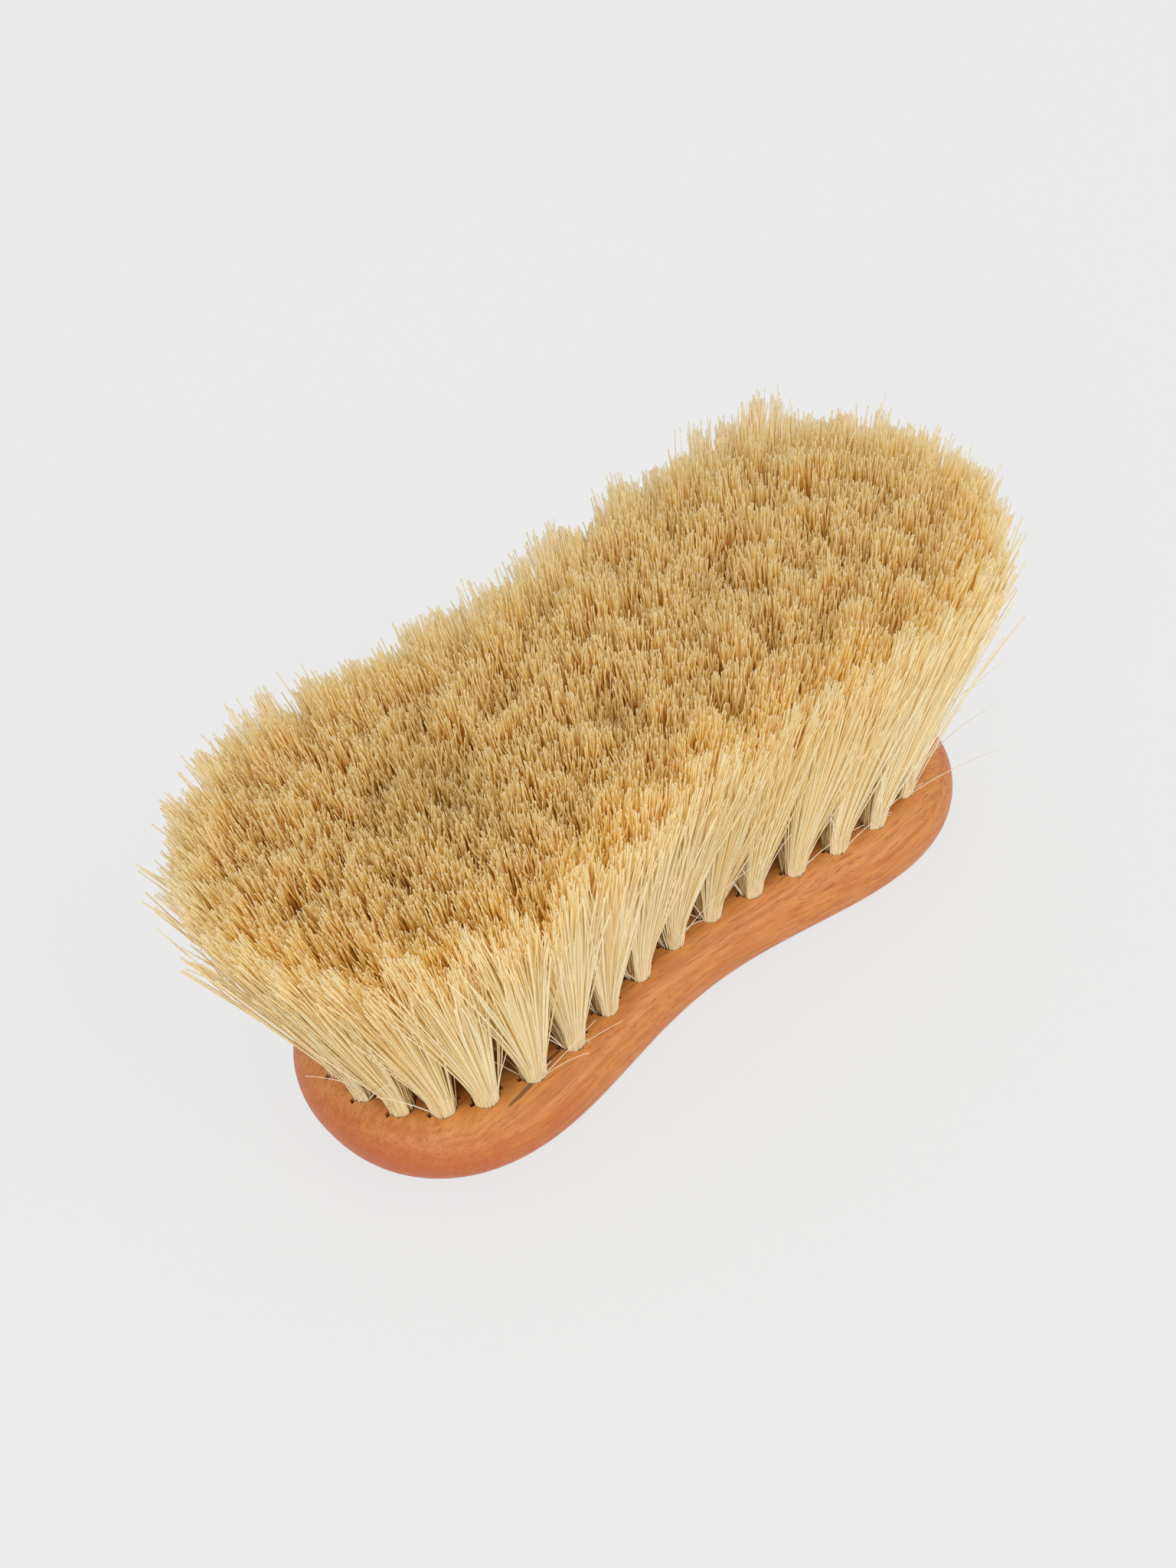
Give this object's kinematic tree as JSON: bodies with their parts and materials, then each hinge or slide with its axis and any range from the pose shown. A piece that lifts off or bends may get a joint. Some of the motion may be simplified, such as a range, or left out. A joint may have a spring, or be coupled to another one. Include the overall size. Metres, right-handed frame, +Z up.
{
  "type": "horse grooming brush",
  "caption": "Waisted hardwood block with rounded edges, drilled and set with tufts of pale plant fibre that fan out and are trimmed level, for brushing mud from a horse's coat.",
  "frame": {"origin": "middle of the flat back of the block, on the surface that the brush lies on", "axes": "+Z up, the way the bristles point; +X along the block; +Y across it"},
  "size_m": [0.2042, 0.0866, 0.0853],
  "materials": {
    "oiled_wood": "oiled, satin",
    "plant_fibre": "stiff natural plant fibre, unbleached"
  },
  "bodies": {
    "root": {"wood_block": "oiled_wood", "outer_tuft_01": "plant_fibre", "outer_tuft_02": "plant_fibre", "outer_tuft_03": "plant_fibre", "outer_tuft_04": "plant_fibre", "outer_tuft_05": "plant_fibre", "outer_tuft_06": "plant_fibre", "outer_tuft_07": "plant_fibre", "outer_tuft_08": "plant_fibre", "outer_tuft_09": "plant_fibre", "outer_tuft_10": "plant_fibre", "outer_tuft_11": "plant_fibre", "outer_tuft_12": "plant_fibre", "outer_tuft_13": "plant_fibre", "outer_tuft_14": "plant_fibre", "outer_tuft_15": "plant_fibre", "outer_tuft_16": "plant_fibre", "outer_tuft_17": "plant_fibre", "outer_tuft_18": "plant_fibre", "outer_tuft_19": "plant_fibre", "outer_tuft_20": "plant_fibre", "outer_tuft_21": "plant_fibre", "outer_tuft_22": "plant_fibre", "outer_tuft_23": "plant_fibre", "outer_tuft_24": "plant_fibre", "outer_tuft_25": "plant_fibre", "outer_tuft_26": "plant_fibre", "outer_tuft_27": "plant_fibre", "outer_tuft_28": "plant_fibre", "outer_tuft_29": "plant_fibre", "outer_tuft_30": "plant_fibre", "outer_tuft_31": "plant_fibre", "outer_tuft_32": "plant_fibre", "outer_tuft_33": "plant_fibre", "outer_tuft_34": "plant_fibre", "outer_tuft_35": "plant_fibre", "outer_tuft_36": "plant_fibre", "inner_tuft_01": "plant_fibre", "inner_tuft_02": "plant_fibre", "inner_tuft_03": "plant_fibre", "inner_tuft_04": "plant_fibre", "inner_tuft_05": "plant_fibre", "inner_tuft_06": "plant_fibre", "inner_tuft_07": "plant_fibre", "inner_tuft_08": "plant_fibre", "inner_tuft_09": "plant_fibre", "inner_tuft_10": "plant_fibre", "inner_tuft_11": "plant_fibre", "inner_tuft_12": "plant_fibre", "inner_tuft_13": "plant_fibre", "inner_tuft_14": "plant_fibre", "inner_tuft_15": "plant_fibre", "inner_tuft_16": "plant_fibre", "inner_tuft_17": "plant_fibre", "inner_tuft_18": "plant_fibre", "inner_tuft_19": "plant_fibre", "inner_tuft_20": "plant_fibre", "lobe_tuft_1": "plant_fibre", "lobe_tuft_2": "plant_fibre"}
  },
  "joints": []
}
